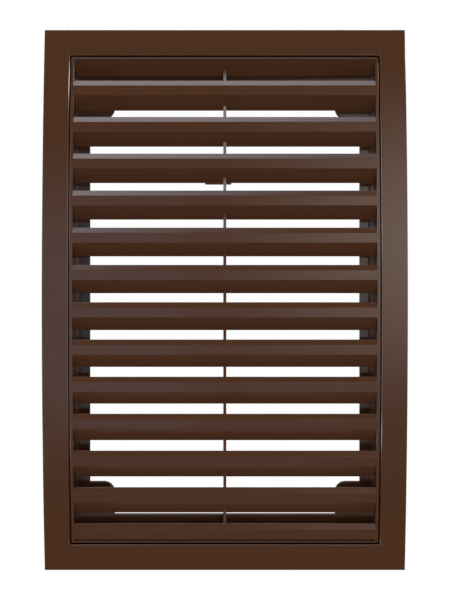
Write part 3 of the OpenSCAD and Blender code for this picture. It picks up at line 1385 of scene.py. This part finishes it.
@dataclass(frozen=True)
class Studio:
    """The camera, the lamps, the pale floor and the white surroundings. Its sizes are in metres.

    Attributes:
        cards: The lamps.
        camera_distance: From the wall's plane to the camera.
        lens: Focal length of the camera.
        sensor: Width of its sensor.
        shift: How far the lens is shifted sideways, as a share of the picture's height.
        floor_height: Height of the floor.
        floor_radius: Where the floor has faded into the white.
        floor_fade: Share of that radius from which it fades.
        floor_colour: Colour of the floor.
        fill: Level of the light that comes from all round.
        dim: How bright the studio looks in the grille's gloss, apart from the lamps.
    """

    cards: tuple[GlowCard, ...]
    camera_distance: float = 0.7465
    lens: float = 52.585
    sensor: float = 36.0
    shift: float = 0.00033
    floor_height: float = -0.6
    floor_radius: float = 0.95
    floor_fade: float = 0.55
    floor_colour: Colour = (0.86, 0.83, 0.79)
    fill: float = 0.135
    dim: float = 0.01

    def build(self) -> None:
        """Makes everything round the grille."""
        self.build_camera()
        for card in self.cards:
            card.build()
        self.build_floor()
        self.build_world()
        bpy.context.scene.view_settings.view_transform = "Standard"

    def build_camera(self) -> None:
        """Makes the camera, level and straight in front of the grille."""
        camera = bpy.data.cameras.new("camera")
        camera.sensor_width = self.sensor
        camera.lens = self.lens
        camera.shift_x = self.shift
        camera.clip_start = NEAREST
        eye = bpy.data.objects.new("camera", camera)
        eye.location = (0.0, -self.camera_distance, 0.0)
        eye.rotation_euler = [math.radians(angle) for angle in UPRIGHT]
        bpy.context.scene.collection.objects.link(eye)
        bpy.context.scene.camera = eye

    def build_floor(self) -> None:
        """Makes a pale round floor that fades out, so that it has no edge."""
        turns = angles(math.tau, FLOOR_STEPS)[:-1]
        rim = [Vector((math.cos(a), math.sin(a), 0.0)) * self.floor_radius for a in turns]
        floor = make_piece("floor", rim, faces=[range(FLOOR_STEPS)])
        floor.location.z = self.floor_height
        graph = ShaderGraph(bpy.data.materials.new("pale_floor"))
        x, y, _ = graph.value("ShaderNodeTexCoord", output="Object").parts()
        edge = ((x * x + y * y).root() / self.floor_radius).ramp(self.floor_fade, 1.0)
        pale = graph.value("ShaderNodeBsdfDiffuse", inputs={"Color": (*self.floor_colour, 1.0)})
        clear = graph.value("ShaderNodeBsdfTransparent")
        mixed = graph.value("ShaderNodeMixShader", inputs={0: edge, 1: pale, 2: clear})
        floor.data.materials.append(graph.close(mixed))
        floor.visible_glossy = False

    def build_world(self) -> None:
        """Makes the surroundings: white to look at, dim in the gloss, and a soft light from all round."""
        graph = ShaderGraph(bpy.data.worlds.new("studio"))
        path = graph.add("ShaderNodeLightPath")
        names = ("Is Camera Ray", "Is Transmission Ray", "Is Glossy Ray")
        camera, passed, gloss = (Value(graph, path.outputs[name]) for name in names)
        seen = camera.at_least(passed)
        level = seen + (1 - seen) * (gloss * self.dim + (1 - gloss) * self.fill)
        world = graph.close(graph.value("ShaderNodeBackground", inputs={"Color": WHITE, "Strength": level}))
        world.cycles.sampling_method = "NONE"
        bpy.context.scene.world = world


CARDS = (
    GlowCard(
        "overhead_card",
        place=(-0.38, -0.67, 1.25),
        turn=(0.0, 0.0, 26.0),
        size=(2.0, 1.5),
        strength=4.1,
        colour=(0.81, 0.9, 1.0),
        fade=(0.3, 0.62),
        edge_colour=(0.47, 0.72, 1.0),
    ),
    GlowCard("left_card", (-0.5, -2.2, -0.05), UPRIGHT, (3.0, 1.95), 0.65, (0.53, 0.735, 1.0), (0.6, 0.75)),
    GlowCard("right_card", (0.87, -2.2, 0.31), UPRIGHT, (2.0, 2.05), 2.07, (1.0, 0.95, 0.875), (1.0, 1.0)),
    GlowCard(
        "low_card",
        place=(0.05, -1.7, -0.6),
        turn=(-70.0, 0.0, 0.0),
        size=(1.4, 0.7),
        strength=7.0,
        colour=(0.845, 0.87, 1.0),
        fade=(0.5, 0.5),
        mirrored=False,
    ),
    GlowCard(
        "left_wing", (-1.5, -1.0, -0.05), SIDEWAYS, (3.0, 1.2), 3.0, DAYLIGHT, (0.2, 0.4), lights=False
    ),
    GlowCard("high_wing", (-1.5, -1.0, 0.45), SIDEWAYS, (3.0, 0.7), 7.0, DAYLIGHT, (0.2, 0.5), lights=False),
    GlowCard("right_wing", (1.5, -1.0, 0.0), SIDEWAYS, (3.0, 1.4), 2.5, DAYLIGHT, (0.2, 0.4), lights=False),
    GlowCard(
        "right_strip",
        place=(1.3, -1.0, 0.89),
        turn=(90.0, 0.0, 52.0),
        size=(1.5, 0.15),
        strength=40.0,
        colour=LAMPLIGHT,
        fade=(0.3, 0.6),
        lights=False,
    ),
    GlowCard(
        "left_strip",
        place=(-1.3, -1.0, -0.53),
        turn=(90.0, 0.0, -52.0),
        size=(1.5, 0.16),
        strength=12.0,
        colour=LAMPLIGHT,
        fade=(0.3, 0.6),
        lights=False,
    ),
    GlowCard("back_card", (0.0, 1.4, 1.1), (-52.0, 0.0, 0.0), (2.0, 1.2), 6.0, DAYLIGHT, (0.6, 0.6)),
    *(
        GlowCard(name, (x, 0.5, 0.2), SIDEWAYS, (1.2, 1.4), 2.0, DAYLIGHT, (0.6, 0.6), mirrored=False)
        for name, x in (("left_side_card", -1.6), ("right_side_card", 1.6))
    ),
)

CHOCOLATE = (0.083, 0.0325, 0.0143)
FRAME_PLASTIC = MouldedPlastic(
    "frame_plastic_finish",
    CHOCOLATE,
    drift=0.03,
    roughness=0.08,
    haze=0.03,
    grain=(0.45, 0.0012),
    ripple=(45.0, 0.012),
)
LOUVRE_PLASTIC = MouldedPlastic(
    "louvre_plastic_finish",
    CHOCOLATE,
    drift=0.03,
    roughness=0.12,
    haze=0.03,
    grain=(0.45, 0.0006),
    ripple=(38.0, 0.01),
)


def main() -> None:
    """Builds the studio and the grille."""
    logging.basicConfig(level=logging.INFO, format="%(name)s: %(message)s")
    Studio(CARDS).build()
    low, high = (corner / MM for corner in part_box("base_frame"))
    arch = Arch(height=round(high.z - low.z, 2), front=round(low.y, 2))
    base = BaseFrame(arch, width=round(high.x - low.x, 2))
    base.build(FRAME_PLASTIC.build())
    LouvrePanel(base).build(LOUVRE_PLASTIC.build())


if __name__ == "__main__":
    main()
